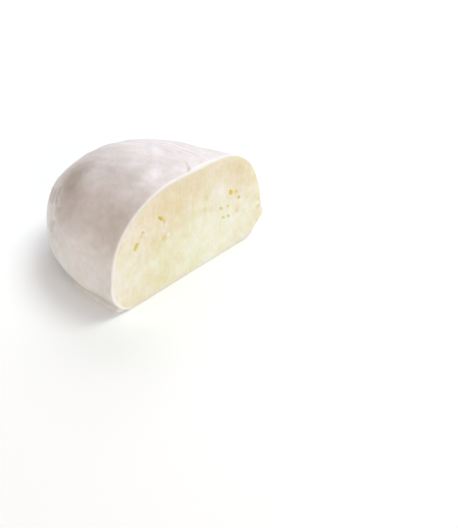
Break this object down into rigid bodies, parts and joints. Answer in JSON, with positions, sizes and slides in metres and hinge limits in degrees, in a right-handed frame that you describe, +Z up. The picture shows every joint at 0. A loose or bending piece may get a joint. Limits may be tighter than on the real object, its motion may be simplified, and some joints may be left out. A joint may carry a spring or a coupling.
{
  "type": "mozzarella ball",
  "caption": "Fresh mozzarella ball, cut open: a smooth slumped oval of stretched curd on a flat foot, with one upright cut face.",
  "frame": {"origin": "on the surface that the piece rests on, below the middle of its box", "axes": "+Z up; the cut face looks along -Y; +X runs across the cut face, to the right for one who looks at it"},
  "size_m": [0.0918, 0.068, 0.0446],
  "materials": {
    "curd": "moist, soft satin",
    "skin": "moist, smooth satin",
    "whey": "clear wet film"
  },
  "bodies": {
    "root": {"mozzarella_ball": "curd"}
  },
  "joints": []
}
